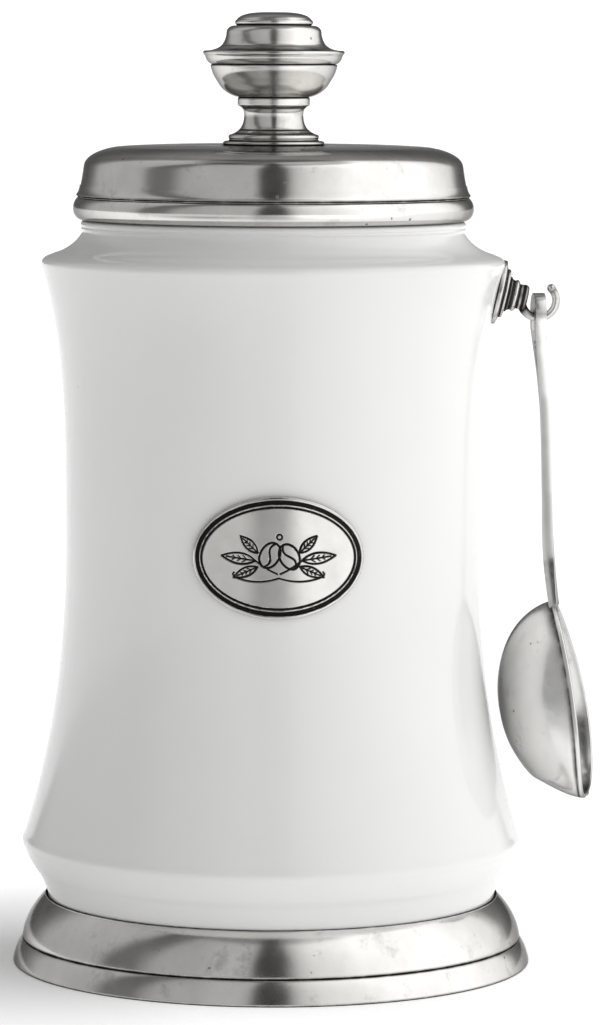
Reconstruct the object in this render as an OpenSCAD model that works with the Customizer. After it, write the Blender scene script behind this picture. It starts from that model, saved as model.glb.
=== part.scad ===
// Lidded storage canister for ground coffee, with a hanging measuring spoon.
// A waisted glazed ceramic jar stands in a moulded pewter base and takes a
// pewter lid with a turned knob. A hook on its side carries the spoon.
// Millimetres, +Z up, origin on the jar's axis at the plane it stands on.
// The plaque faces -Y and the hook and spoon are on the +X side.

/* [Base] */
// Largest radius, at the bottom bead
base_r = 76.6; // [76:0.2:79]
// Height of the seam between the bottom bead and the moulding
base_seam_z = 7.4; // [6.4:0.1:8]
// Height of the moulding's rolled top rim
base_rim_z = 20.3; // [19.6:0.1:22]
// Radius of the moulding's rolled top rim
base_rim_r = 67.1; // [66.8:0.1:68]
// Thickness of the base's floor
base_floor = 2; // [1.5:0.1:2.6]

/* [Jar] */
// Radius of the lower corner
low_r = 73.9; // [73:0.1:75]
// Height of the lower corner
low_z = 36.2; // [34:0.2:40]
// Radius of the waist
waist_r = 60.9; // [59.5:0.1:62.5]
// Height of the waist
waist_z = 128; // [124:1:132]
// Radius of the shoulder corner
shoulder_r = 68.2; // [67:0.1:69.2]
// Height of the shoulder corner
shoulder_z = 207.1; // [205:0.1:208.5]
// Height of the mouth's rim
rim_z = 219.3; // [218.5:0.1:219.3]
// Radius of the rim's rolled lip
lip_r = 56.7; // [56:0.1:58]
// Inside radius of the mouth
mouth_r = 50.4; // [50.4:0.1:51.2]
// Thickness of the jar's wall
wall = 5; // [4:0.5:6]
// Thickness of the jar's floor
jar_floor = 7.4; // [5:0.2:10]

/* [Lid] */
// Largest radius, at the lid's bead
bead_r = 58.9; // [58.4:0.1:60]
// Height of the seam between the bead and the dome
lid_seam_z = 226.4; // [225.4:0.1:227]
// Height of the lid's flat top
lid_top_z = 241.2; // [239.5:0.1:241.6]
// Thickness of the pewter sheet
sheet = 2; // [1.4:0.1:2.4]
// Outside radius of the collar inside the mouth
collar_r = 48.6; // [48:0.1:48.6]
// Depth of the collar below the rim
collar_depth = 13; // [10:0.5:16]

/* [Knob] */
// Radius of the stepped flange at the knob's foot
flange_r = 14.9; // [14:0.1:17]
// Radius of the knob's neck
neck_r = 8.7; // [7.8:0.1:9.2]
// Radius of the cup's top edge
cup_r = 18.6; // [18:0.1:19.2]
// Largest radius, at the cap's rim
cap_r = 20.8; // [20.4:0.1:22]
// Height of the whole object, at the top of the button
total_h = 280; // [279.4:0.1:282]
// Radius of the stud through the knob
stud_r = 2.5; // [2:0.1:3]

/* [Plaque] */
// Width of the oval plaque
plaque_w = 48.6; // [40:0.2:52]
// Height of the oval plaque
plaque_h = 35; // [28:0.2:38]
// Height of the plaque's centre
plaque_z = 126; // [122:1:130]
// Thickness of the plaque
plaque_t = 1.3; // [1:0.1:2]

/* [Hook] */
// Height of the hook's rosette
hook_z = 198.5; // [196:0.1:199]
// Downward tilt of the rosette, square to the jar's wall
hook_tilt = 12.2; // [10:0.1:14]
// Radius of the rosette
rosette_r = 9.5; // [8.5:0.1:10.5]
// Radius of the bend that the spoon hangs in
bend_r = 5.1; // [5:0.05:5.4]
// Radius of the hook's wire
wire_r = 1.15; // [1:0.05:1.2]
// Radius of the stud that holds the hook to the jar
hook_stud_r = 2; // [1.6:0.1:2.2]

/* [Spoon] */
// Length of the bowl
bowl_l = 59; // [54:0.5:61]
// Width of the bowl, outside
bowl_w = 44; // [38:0.5:46]
// Depth of the bowl, outside
bowl_d = 21.7; // [18:0.1:21.8]
// Thickness of the bowl's wall
bowl_t = 1.4; // [1.2:0.1:2]
// Thickness of the handle
handle_t = 3.2; // [2.6:0.1:3.4]
// Width of the handle at the eye
eye_w = 10.4; // [10:0.1:11]
// Width of the eye
slot_w = 5.6; // [5.2:0.1:5.8]

/* [Hidden] */
$fn = 96;
gap = 0.05;
jar_bottom_z = 3.2;
jar_foot_r = 66.2;
neck_out_r = 56.2;
dome_r = 57.9;
cup_z = 255.2;
cap_z = 265.1;
button_z = 276.1;
bend_x = 78;
bend_z = 196;
spoon_tilt = 9.97;
spoon_turn = -7;
plaque_turn = 1.65;
bowl_top = [83.6, 107.5];
mouth_bow = 2.5;
bowl_rings = 24;
bowl_sides = 16;
plaque_back_r = 61.35;

// ---- curves: each gives the points of one stretch of an outline ----

// Part of an ellipse about c, from angle a0 to a1
function arc(c, rx, ry, a0, a1, n = 8) =
    [for (i = [0:n]) let (a = a0 + (a1 - a0) * i / n) [c.x + rx * cos(a), c.y + ry * sin(a)]];

// Curve from p to q that leaves and arrives along the lines to m
function bend(p, m, q, n = 6) =
    [for (i = [0:n]) let (t = i / n) p * (1 - t) ^ 2 + m * 2 * t * (1 - t) + q * t ^ 2];

// Radius of the jar's waisted wall at height z
function wall_r(z) = z > waist_z
    ? waist_r + (shoulder_r + 0.1 - waist_r) * ((z - waist_z) / (shoulder_z - waist_z)) ^ 3.3
    : waist_r + (low_r - waist_r) * ((waist_z - z) / (waist_z - low_z)) ^ 2.3;

// Radii of the waisted wall from z0 to z1, moved in by t
function wall_points(z0, z1, t, n) =
    [for (i = [0:n]) let (z = z0 + (z1 - z0) * i / n) [wall_r(z) - t, z]];

module turned(points) {
    rotate_extrude() polygon(points);
}

module ring(r_out, r_in, z0, z1) {
    translate([0, 0, z0]) difference() {
        cylinder(r = r_out, h = z1 - z0);
        translate([0, 0, -1]) cylinder(r = r_in, h = z1 - z0 + 2);
    }
}

// ---- base ----

module base_dish() {
    color("silver") turned(concat(
        [[0, 0]],
        arc([base_r - 0.5, 0.5], 0.5, 0.5, -90, 0, 4),
        bend([base_r, 0.7], [base_r - 0.9, 5], [base_r - 3.1, base_seam_z - 0.05], 10),
        [[base_r - 3.3, base_seam_z], [jar_foot_r + 1.2, base_seam_z], [jar_foot_r + 1.2, base_floor],
         [0, base_floor]]
    ));
}

module base_moulding() {
    color("silver") turned(concat(
        [[base_r - 3.4, base_seam_z]],
        arc([base_r - 3.05, base_seam_z + 0.3], 0.25, 0.25, -60, 10, 2),
        bend([base_r - 2.8, base_seam_z + 0.5], [base_r - 3.7, 14.2], [base_rim_r, base_rim_z - 0.5], 12),
        arc([base_rim_r - 0.4, base_rim_z - 0.4], 0.4, 0.4, 10, 90, 4),
        [[base_rim_r - 0.5, base_rim_z], [base_rim_r - 0.5, base_seam_z]]
    ));
}

module base_cement() {
    color("gainsboro") translate([0, 0, base_floor]) cylinder(r = 62, h = jar_bottom_z - base_floor);
}

// ---- jar ----

module jar_outside() {
    turned(concat(
        [[0, jar_bottom_z]],
        arc([jar_foot_r - 1.5, jar_bottom_z + 1.5], 1.5, 1.5, -90, 0, 4),
        bend([jar_foot_r + 0.1, 20.5], [67.2, 24.4], [69.6, 27.8], 4),
        bend([69.6, 27.8], [low_r - 1.4, 32], [low_r, low_z], 5),
        wall_points(low_z + 1, shoulder_z - 1.5, 0, 26),
        [[shoulder_r - 0.1, shoulder_z]],
        bend([shoulder_r - 0.5, shoulder_z + 0.9], [shoulder_r - 1, shoulder_z + 1.7], [64.9, 209.4], 3),
        bend([62.6, 210.2], [59, 211.8], [neck_out_r + 0.9, 214.4], 4),
        arc([neck_out_r + 1.1, 216], 1.1, 1.1, 200, 140, 2),
        arc([lip_r - 1.5, rim_z - 1.3], 1.5, 1.3, -20, 90, 6),
        [[0, rim_z]]
    ));
}

module jar_inside() {
    floor_z = jar_bottom_z + jar_floor;
    turned(concat(
        [[0, floor_z], [low_r - wall - 12, floor_z]],
        bend([low_r - wall - 9, floor_z + 0.3], [low_r - wall - 1, floor_z + 9], [low_r - wall, low_z], 6),
        wall_points(low_z + 1, shoulder_z - 8, wall, 18),
        bend([wall_r(shoulder_z - 8) - wall, shoulder_z - 7], [60, 205], [mouth_r + 3, 206.5], 5),
        [[mouth_r, 208.5], [mouth_r, rim_z - 1.2]],
        arc([mouth_r + 1.2, rim_z - 1.2], 1.2, 1.2, 180, 91, 4),
        [[mouth_r + 1.2, rim_z + 1], [0, rim_z + 1]]
    ));
}

module jar() {
    color("ivory") difference() {
        jar_outside();
        jar_inside();
        along_hook(-14) cylinder(r = hook_stud_r + 0.4, h = 20);
    }
}

// ---- plaque ----

function oval(w, h, n = 48) = [for (i = [0:n - 1]) [w / 2 * cos(360 * i / n), h / 2 * sin(360 * i / n)]];

// An oval bar through the front of the jar, inset from the plaque's edge
module plaque_bar(inset = 0) {
    translate([0, -45, plaque_z]) rotate([90, 0, 0])
        linear_extrude(30) polygon(oval(plaque_w - 2 * inset, plaque_h - 2 * inset));
}

module plaque_disc(r) {
    translate([0, 0, plaque_z - plaque_h]) cylinder(r = r, h = 2 * plaque_h, $fn = 180);
}

// The plaque sits a little to the right of the front
module plaque_turned() {
    rotate([0, 0, plaque_turn]) children();
}

module plaque() {
    groove_in = 0.8;
    groove_w = 0.95;
    groove_d = 0.35;
    face_r = plaque_back_r + plaque_t;
    color("darkgray") plaque_turned() difference() {
        intersection() {
            plaque_bar();
            plaque_disc(face_r);
        }
        plaque_disc(plaque_back_r);
        difference() {
            plaque_bar(groove_in);
            plaque_bar(groove_in + groove_w);
            plaque_disc(face_r - groove_d);
        }
    }
}

module plaque_bond() {
    color("gray") plaque_turned() difference() {
        intersection() {
            plaque_bar(3);
            plaque_disc(plaque_back_r);
        }
        plaque_disc(plaque_back_r - 0.15);
    }
}

// ---- hook ----

// Places its child on the hook's axis, d outward from the wall
module along_hook(d) {
    translate([wall_r(hook_z), 0, hook_z]) rotate([0, 90 + hook_tilt, 0]) translate([0, 0, d]) children();
}

module hook_rosette() {
    step_r = rosette_r - 2.3;
    color("silver") difference() {
        along_hook(-1.4) turned(concat(
            [[hook_stud_r + gap, 0], [rosette_r, 0], [rosette_r, 2.1]],
            bend([rosette_r - 0.4, 2.6], [rosette_r - 1.6, 2.7], [step_r + 0.1, 3], 3),
            [[step_r, 3.6]],
            bend([step_r - 0.2, 3.9], [step_r - 1, 4.2], [5, 4.3], 3),
            [[hook_stud_r + gap, 4.3]]
        ));
        jar_outside();
    }
}

module hook_boss() {
    color("dimgray") difference() {
        along_hook(2.9) turned(concat(
            [[0, 0], [5.2, 0]],
            bend([5.2, 0.4], [4.4, 0.9], [4.5, 1.5], 3),
            arc([3.9, 2.2], 0.8, 0.7, -60, 60, 4),
            [[3.7, 3.1], [3.9, 3.6], [3.7, 5.5], [3.2, 6], [0, 6]]
        ));
        along_hook(1) cylinder(r = hook_stud_r + gap, h = 5);
        hook_wire();
    }
}

// Round wire bent in a half loop, with a ball at its tip
module hook_wire() {
    start_a = 196;
    sweep_a = 200;
    translate([bend_x, 0, bend_z]) rotate([90, 0, 0]) {
        rotate([0, 0, start_a]) rotate_extrude(angle = sweep_a)
            translate([bend_r, 0]) circle(r = wire_r, $fn = 32);
        rotate([0, 0, start_a + sweep_a]) translate([bend_r, 0, 0]) sphere(r = wire_r + 0.12, $fn = 32);
    }
}

module hook_arm() {
    color("silver") hook_wire();
}

module hook_stud() {
    color("silver") along_hook(-12) cylinder(r = hook_stud_r, h = 17.5);
}

module hook_washer() {
    color("gainsboro") difference() {
        along_hook(-wall - 3) cylinder(r = 5.2, h = 4.5);
        along_hook(-wall - 4) cylinder(r = hook_stud_r + gap, h = 8);
        jar_wall();
    }
}

module jar_wall() {
    difference() {
        jar_outside();
        jar_inside();
    }
}

module hook_nut() {
    color("silver") difference() {
        along_hook(-wall - 6.2) cylinder(r = 4.04, h = 3.2, $fn = 6);
        along_hook(-wall - 9) cylinder(r = hook_stud_r + gap, h = 8);
    }
}

// ---- lid ----

module lid_dome() {
    top_r = 46.5;
    crown_r = flange_r - 2;
    color("silver") turned(concat(
        [[stud_r + gap, lid_top_z - sheet], [crown_r, lid_top_z - sheet]],
        bend([top_r, lid_top_z - 0.6 - sheet], [53, 238.2 - sheet], [55.4 - sheet, 234.6], 6),
        [[56.8 - sheet, 229.5], [dome_r - sheet, lid_seam_z], [dome_r - 0.3, lid_seam_z]],
        arc([dome_r - 0.25, lid_seam_z + 0.25], 0.25, 0.25, -70, 20, 3),
        [[57.1, lid_seam_z + 1.3], [56.8, 229.3], [55.8, 234.2]],
        bend([55.5, 235.2], [54.6, 238.3], [top_r, lid_top_z - 0.6], 7),
        [[crown_r, lid_top_z], [stud_r + gap, lid_top_z]]
    ));
}

module lid_bead() {
    under_z = rim_z + gap;
    mid_z = 222.7;
    color("silver") turned(concat(
        [[collar_r + gap, under_z], [bead_r - 3, under_z]],
        arc([bead_r - 2.7, mid_z], 2.7, mid_z - under_z, -75, 0, 5),
        arc([bead_r - 2.7, mid_z], 2.7, lid_seam_z - mid_z, 15, 62, 3),
        [[bead_r - 1.4, lid_seam_z], [bead_r - 4.6, lid_seam_z], [bead_r - 4.6, mid_z],
         [collar_r + gap, mid_z]]
    ));
}

module lid_collar() {
    color("silver") ring(collar_r, collar_r - sheet, rim_z - collar_depth, 223.4);
}

module lid_seal() {
    seal_r = collar_r + gap;
    rib_r = 50.2;
    z = rim_z - collar_depth + 1.5;
    color("whitesmoke") turned([
        [seal_r, z], [seal_r + 0.7, z], [rib_r, z + 1.2], [seal_r + 0.7, z + 1.6],
        [seal_r + 0.7, z + 2.4], [rib_r, z + 3.6], [seal_r + 0.7, z + 4], [seal_r, z + 4]
    ]);
}

// ---- knob: turned pieces drawn down onto the lid by one stud ----

module knob_flange() {
    bore_r = stud_r + gap;
    z = lid_top_z;
    color("silver") turned(concat(
        [[bore_r, z], [flange_r - 0.3, z]],
        arc([flange_r - 0.6, z + 0.6], 0.6, 0.6, -60, 60, 4),
        [[flange_r - 1.1, z + 1.4]],
        arc([flange_r - 2.2, z + 2.4], 0.6, 0.8, -60, 60, 4),
        bend([flange_r - 2.4, z + 3.2], [11.2, z + 3.6], [neck_r + 1.6, z + 4.5], 3),
        [[bore_r, z + 4.5]]
    ));
}

module knob_neck() {
    bore_r = stud_r + gap;
    z = lid_top_z + 4.5;
    ring_z = cup_z - 1.2;
    color("silver") turned(concat(
        [[bore_r, z]],
        bend([neck_r + 1.5, z], [neck_r, z + 1.6], [neck_r, z + 4.2], 6),
        bend([neck_r, ring_z - 3.6], [neck_r + 0.1, ring_z - 2], [neck_r + 1.2, ring_z - 1.5], 4),
        arc([neck_r + 1.5, ring_z - 0.8], 0.4, 0.5, -80, 0, 3),
        arc([neck_r + 1.5, ring_z + 0.6], 0.4, 0.6, 0, 80, 3),
        [[bore_r, cup_z]]
    ));
}

module knob_cup() {
    bore_r = stud_r + gap;
    top_z = cap_z - 0.3;
    color("silver") turned(concat(
        [[bore_r, cup_z], [neck_r + 1.4, cup_z]],
        bend([11.2, cup_z + 0.2], [14.8, cup_z + 1.3], [cup_r - 2.1, cup_z + 4.4], 6),
        bend([cup_r - 1.6, cup_z + 5.2], [cup_r - 0.4, cup_z + 7], [cup_r, top_z - 0.6], 5),
        [[cup_r - 0.4, top_z], [bore_r, top_z]]
    ));
}

module knob_cap() {
    bore_r = stud_r + gap;
    color("silver") turned(concat(
        [[bore_r, cap_z - 0.3], [17.9, cap_z - 0.3]],
        bend([18.8, cap_z - 0.1], [cap_r - 0.9, 265.8], [cap_r - 0.6, 267.2], 5),
        arc([cap_r - 0.6, 268.2], 0.6, 0.6, -50, 85, 5),
        bend([cap_r - 1.6, 268.85], [16.2, 269.2], [15, 270.8], 6),
        bend([14.6, 271.5], [14.2, 272.4], [14, 273.4], 3),
        bend([13.9, 274.6], [13.2, button_z], [11.4, button_z], 6),
        [[bore_r, button_z]]
    ));
}

module knob_button() {
    color("silver") turned(concat(
        [[0, button_z], [10.9, button_z]],
        arc([10.6, button_z + 0.9], 0.85, 0.85, -60, 60, 4),
        bend([10.8, button_z + 1.9], [9.4, total_h - 0.2], [3, total_h], 6),
        [[0, total_h]]
    ));
}

module knob_stud() {
    color("silver") translate([0, 0, 231.4]) cylinder(r = stud_r, h = button_z - 231.5);
}

module knob_washer() {
    color("gainsboro") ring(7, stud_r + gap, lid_top_z - sheet - 1.2, lid_top_z - sheet);
}

module knob_nut() {
    nut_h = 4;
    washer_h = 1.2;
    color("silver") translate([0, 0, lid_top_z - sheet - washer_h - nut_h]) difference() {
        cylinder(r = 4.62, h = nut_h, $fn = 6);
        translate([0, 0, -1]) cylinder(r = stud_r + gap, h = nut_h + 2);
    }
}

// ---- spoon ----

// Places its child at the top of the bowl: +X out of its mouth, -Z towards its tip
module bowl_frame() {
    translate([bowl_top.x, 0, bowl_top.y]) rotate([0, 0, spoon_turn]) rotate([0, -spoon_tilt, 0]) children();
}

// How deep the bowl is, as a part of its full depth, at u from -1 (handle) to 1 (tip).
// It flattens towards the tip into a short pouring lip.
function bowl_depth(u) = sqrt(max(0, 1 - u * u)) ^ 1.1 * (u > 0.7 ? 1.7 - u : 1);

// How wide it is, as a part of its full width: a little fuller towards the tip
function bowl_width(u) = sqrt(max(0, 1 - u * u)) ^ (0.9 - 0.2 * u) * (1 + 0.2 * u) / 1.03;

// A point of the bowl's skin, moved in by t: th runs along it, a across it
function bowl_point(th, a, t) = let (
    u = -cos(th),
    s = bowl_l / 2 + u * (bowl_l / 2 - t),
    bow = mouth_bow * (1 - (2 * s / bowl_l - 1) ^ 2),
    deep = (bowl_d + mouth_bow - t) * bowl_depth(u),
    side = (bowl_w / 2 - t) * bowl_width(u) * cos(a)
) [bow - deep * sin(a) + 0.04 * u * side, side, -s];

// Points of one skin: the handle end's pole, rings along the bowl, the tip's pole
function skin_points(t) = concat(
    [bowl_point(0, 0, t)],
    [for (i = [1:bowl_rings - 1], j = [0:bowl_sides])
        bowl_point(180 * i / bowl_rings, 180 * j / bowl_sides, t)],
    [bowl_point(180, 0, t)]
);

// Index of point j on ring i of the skin that starts at index k
function skin_at(k, i, j) = i == 0 ? k
    : i == bowl_rings ? k + 1 + (bowl_rings - 1) * (bowl_sides + 1)
    : k + 1 + (i - 1) * (bowl_sides + 1) + j;

// Triangles of the patch a, b, c, d, without the one that a pole folds away
function patch(a, b, c, d) = concat(a == b ? [] : [[a, b, c]], c == d ? [] : [[a, c, d]]);

module spoon_bowl() {
    inner = 2 + (bowl_rings - 1) * (bowl_sides + 1);
    skins = [for (i = [0:bowl_rings - 1], j = [0:bowl_sides - 1], f = concat(
        patch(skin_at(0, i, j), skin_at(0, i, j + 1), skin_at(0, i + 1, j + 1), skin_at(0, i + 1, j)),
        patch(skin_at(inner, i, j + 1), skin_at(inner, i, j),
            skin_at(inner, i + 1, j), skin_at(inner, i + 1, j + 1))
    )) f];
    rim = [for (i = [0:bowl_rings - 1], f = concat(
        patch(skin_at(inner, i, 0), skin_at(0, i, 0), skin_at(0, i + 1, 0), skin_at(inner, i + 1, 0)),
        patch(skin_at(0, i, bowl_sides), skin_at(inner, i, bowl_sides),
            skin_at(inner, i + 1, bowl_sides), skin_at(0, i + 1, bowl_sides))
    )) f];
    color("silver") bowl_frame()
        polyhedron(concat(skin_points(0), skin_points(bowl_t)), concat(skins, rim), convexity = 4);
}

// Middle of the handle's thickness, from the eye down to the bowl
HANDLE_LINE = concat(
    [[78, 199.2], [78, 188]],
    bend([78.9, 180], [80.7, 166], [80.9, 142], 5),
    bend([81.1, 132], [81.2, 120], [83.4, 105.2], 5)
);

module handle_side() {
    last = len(HANDLE_LINE) - 1;
    polygon(concat(
        [for (p = HANDLE_LINE) [p.x + handle_t / 2, p.y]],
        [for (i = [last:-1:0]) [HANDLE_LINE[i].x - handle_t / 2, HANDLE_LINE[i].y]]
    ));
}

// Front outline: a rounded eye, a slim shank and a flared foot on the bowl
module handle_front() {
    eye_r = eye_w / 2;
    polygon(concat(
        arc([0, 198.3 - eye_r], eye_r, eye_r, 0, 180, 16),
        bend([-eye_r, 186], [-eye_r, 178], [-3.4, 168], 5),
        bend([-2.9, 140], [-3.2, 118], [-5.2, 104], 4),
        bend([5.2, 104], [3.2, 118], [2.9, 140], 4),
        bend([3.4, 168], [eye_r, 178], [eye_r, 186], 5)
    ));
}

module eye_hole() {
    top_z = bend_z - bend_r;
    low_z = 184.6;
    rotate([0, 90, 0]) linear_extrude(200) {
        translate([-top_z, 0]) circle(r = wire_r + 0.4, $fn = 48);
        translate([-low_z, 0]) circle(d = slot_w, $fn = 48);
        polygon([
            [-top_z, wire_r + 0.4], [-low_z - 1.6, slot_w / 2 - 0.2], [-low_z, slot_w / 2],
            [-low_z, -slot_w / 2], [-low_z - 1.6, -slot_w / 2 + 0.2], [-top_z, -wire_r - 0.4]
        ]);
    }
}

module spoon_handle() {
    color("silver") difference() {
        intersection() {
            translate([0, 20, 0]) rotate([90, 0, 0]) linear_extrude(40) handle_side();
            rotate([90, 0, 90]) linear_extrude(120) handle_front();
        }
        eye_hole();
        hull() spoon_bowl();
    }
}

base_dish();
base_moulding();
base_cement();
jar();
plaque();
plaque_bond();
hook_rosette();
hook_boss();
hook_arm();
hook_stud();
hook_washer();
hook_nut();
lid_dome();
lid_bead();
lid_collar();
lid_seal();
knob_flange();
knob_neck();
knob_cup();
knob_cap();
knob_button();
knob_stud();
knob_washer();
knob_nut();
spoon_bowl();
spoon_handle();
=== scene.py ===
from math import asin, cos, exp, pi, radians, sin, sqrt

import bpy
import numpy as np
from mathutils import Matrix, Vector


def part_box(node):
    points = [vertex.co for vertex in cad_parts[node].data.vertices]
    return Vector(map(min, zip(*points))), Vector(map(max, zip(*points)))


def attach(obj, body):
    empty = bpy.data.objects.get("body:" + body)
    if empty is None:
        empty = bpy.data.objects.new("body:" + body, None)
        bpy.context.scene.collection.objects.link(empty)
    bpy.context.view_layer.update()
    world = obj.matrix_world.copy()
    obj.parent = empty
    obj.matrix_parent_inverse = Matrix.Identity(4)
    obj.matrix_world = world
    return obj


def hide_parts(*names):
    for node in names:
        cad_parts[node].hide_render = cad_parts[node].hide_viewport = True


MM = 0.001
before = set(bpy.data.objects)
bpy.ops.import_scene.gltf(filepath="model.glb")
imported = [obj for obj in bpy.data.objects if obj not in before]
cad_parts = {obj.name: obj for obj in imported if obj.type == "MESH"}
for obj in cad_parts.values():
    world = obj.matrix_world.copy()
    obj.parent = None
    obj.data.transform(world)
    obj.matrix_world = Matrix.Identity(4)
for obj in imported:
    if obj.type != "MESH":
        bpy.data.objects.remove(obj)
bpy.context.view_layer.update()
scene = bpy.context.scene


def top_of(node):
    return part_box(node)[1].z / MM


def radius_of(node):
    low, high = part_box(node)
    return max(high.y, -low.y, -low.x) / MM


# ---------------------------------------------------------------- outlines

def arc(cx, cy, rx, ry, a0, a1, n=12):
    """Part of an ellipse, from angle a0 to a1 in degrees."""
    angles = np.radians(np.linspace(a0, a1, n + 1))
    return [(cx + rx * cos(a), cy + ry * sin(a)) for a in angles]


def bend(p, m, q, n=12):
    """A curve from p to q that leaves and arrives along the lines to m."""
    ts = np.linspace(0, 1, n + 1)
    return [tuple(p[k] * (1 - t) ** 2 + m[k] * 2 * t * (1 - t) + q[k] * t * t for k in (0, 1)) for t in ts]


def finer(points, step, closed, grooves=()):
    """The same outline with no stretch longer than step, and short stretches beside the grooves."""
    out = []
    ring = list(points) + ([points[0]] if closed else [])
    for p, q in zip(ring, ring[1:]):
        length = sqrt((p[0] - q[0]) ** 2 + (p[1] - q[1]) ** 2)
        parts = max(1, int(np.ceil(length / step)))
        for a, b, w in grooves:
            along = ((a - p[0]) * (q[0] - p[0]) + (b - p[1]) * (q[1] - p[1])) / max(length * length, 1e-9)
            along = min(1.0, max(0.0, along))
            gap = sqrt((p[0] + (q[0] - p[0]) * along - a) ** 2 + (p[1] + (q[1] - p[1]) * along - b) ** 2)
            if gap < 2 * w + 0.2:
                parts = max(parts, min(24, int(np.ceil(length / (0.45 * w)))))
        out += [(p[0] + (q[0] - p[0]) * k / parts, p[1] + (q[1] - p[1]) * k / parts) for k in range(parts)]
    if not closed:
        out.append(ring[-1])
    return out


# ---------------------------------------------------------------- meshes

def new_piece(name, verts, faces, dirt_ink_and_shade=None, crease=38):
    mesh = bpy.data.meshes.new(name)
    mesh.from_pydata([tuple(v) for v in verts], [], faces)
    mesh.validate()
    if dirt_ink_and_shade is not None:
        # This attribute darkens the surface: dirt with painted shade in creases, gaps and joints, and the ink
        # in the plaque's engraving.
        layer = mesh.attributes.new("dirt_ink_and_shade", "FLOAT", "POINT")
        layer.data.foreach_set("value", np.asarray(dirt_ink_and_shade, np.float32))
    mesh.shade_smooth()
    mesh.set_sharp_from_angle(angle=radians(crease))
    piece = bpy.data.objects.new(name, mesh)
    scene.collection.objects.link(piece)
    return piece


def lathe(name, points, grooves=(), step=1.2, turns=192, wobble=0.0, seed=0, place=None, closed=False):
    """Turns an outline of (radius, height) round the Z axis.
    grooves are (radius, height, width) where the wall is darkened with dirt and painted shade. wobble is how
    far the wall strays inward."""
    outline = finer(points, step, closed, grooves)
    rng = np.random.default_rng(seed)
    phase = rng.uniform(0, 2 * pi, 6)
    verts, dirt_ink_and_shade, rows = [], [], []
    for r, z in outline:
        dirt_and_shade = max([exp(-((r - a) ** 2 + (z - b) ** 2) / (w * w)) for a, b, w in grooves], default=0.0)
        if r < 1e-6:
            rows.append([len(verts)])
            verts.append((0, 0, z))
            dirt_ink_and_shade.append(dirt_and_shade)
            continue
        rows.append(range(len(verts), len(verts) + turns))
        for k in range(turns):
            a = 2 * pi * k / turns
            stray = (sin(2 * a + phase[0] + z * 0.03) + 0.6 * sin(3 * a + phase[1] - z * 0.05)
                     + 0.35 * sin(7 * a + phase[2] + z * 0.11) + 0.25 * sin(11 * a + phase[3] - z * 0.19))
            rr = r - wobble * (0.5 + 0.22 * stray) * min(1, r / 20)
            verts.append((rr * cos(a), rr * sin(a), z))
            dirt_ink_and_shade.append(dirt_and_shade)
    faces = []
    pairs = list(zip(rows, rows[1:])) + ([(rows[-1], rows[0])] if closed else [])
    for low, high in pairs:
        for k in range(turns):
            n = (k + 1) % turns
            if len(low) == 1:
                faces.append((low[0], high[n], high[k]))
            elif len(high) == 1:
                faces.append((low[k], low[n], high[0]))
            else:
                faces.append((low[k], low[n], high[n], high[k]))
    verts = np.array(verts) * MM
    if place is not None:
        spin = np.array(place.to_3x3())
        verts = verts @ spin.T + np.array(place.to_translation())
    return new_piece(name, verts, faces, dirt_ink_and_shade)


def show(piece, body, slot_name, look, *nodes):
    """Puts a finished piece on its body, in place of CAD nodes."""
    piece.data.materials.append(look)
    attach(piece, body)
    if nodes:
        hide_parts(*nodes)
    return piece


# ---------------------------------------------------------------- materials

class Look:
    """A node material, with short ways to add nodes and to link them."""

    def __init__(self, name):
        self.material = bpy.data.materials.new(name)
        self.material.use_nodes = True
        self.tree = self.material.node_tree
        self.shader = self.tree.nodes["Principled BSDF"]
        self.place = self.add("ShaderNodeTexCoord").outputs["Object"]

    def add(self, kind, inputs=None, **settings):
        node = self.tree.nodes.new(kind)
        for key, value in settings.items():
            setattr(node, key, value)
        for key, value in (inputs or {}).items():
            if isinstance(value, bpy.types.NodeSocket):
                self.tree.links.new(value, node.inputs[key])
            else:
                node.inputs[key].default_value = value
        return node

    def math(self, operation, a, b=0.0, clamp=False):
        return self.add("ShaderNodeMath", {0: a, 1: b}, operation=operation, use_clamp=clamp).outputs[0]

    def noise(self, scale, detail=3.0, where=None, rough=0.55):
        inputs = {"Vector": where or self.place, "Scale": scale, "Detail": detail, "Roughness": rough}
        return self.add("ShaderNodeTexNoise", inputs).outputs["Fac"]

    def span(self, value, low, high, to_low=0.0, to_high=1.0):
        inputs = {0: value, 1: low, 2: high, 3: to_low, 4: to_high}
        return self.add("ShaderNodeMapRange", inputs).outputs[0]

    def mix(self, factor, a, b):
        node = self.add("ShaderNodeMix", {0: factor}, data_type="RGBA")
        for key, value in ((6, a), (7, b)):
            if isinstance(value, bpy.types.NodeSocket):
                self.tree.links.new(value, node.inputs[key])
            else:
                node.inputs[key].default_value = (*value, 1.0)
        return node.outputs[2]

    def stretched(self, scale, turn=(0.0, 0.0, 0.0)):
        inputs = {"Vector": self.place, "Rotation": turn, "Scale": scale}
        return self.add("ShaderNodeMapping", inputs).outputs[0]

    def set(self, **values):
        for key, value in values.items():
            socket = self.shader.inputs[key.replace("_", " ")]
            if isinstance(value, bpy.types.NodeSocket):
                self.tree.links.new(value, socket)
            else:
                socket.default_value = value

    def bump(self, height, strength, distance, normal=None):
        inputs = {"Height": height, "Strength": strength, "Distance": distance}
        if normal is not None:
            inputs["Normal"] = normal
        return self.add("ShaderNodeBump", inputs).outputs[0]


def spun(look):
    """Coordinates that run round the Z axis: angle, height and radius, for lines left by turning."""
    parts = look.add("ShaderNodeSeparateXYZ", {0: look.place})
    x, y, z = parts.outputs
    angle = look.math("MULTIPLY", look.math("ARCTAN2", y, x), 0.01)
    square = look.math("ADD", look.math("MULTIPLY", x, x), look.math("MULTIPLY", y, y))
    radius = look.math("SQRT", square)
    return look.add("ShaderNodeCombineXYZ", {0: angle, 1: z, 2: radius}).outputs[0]


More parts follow.
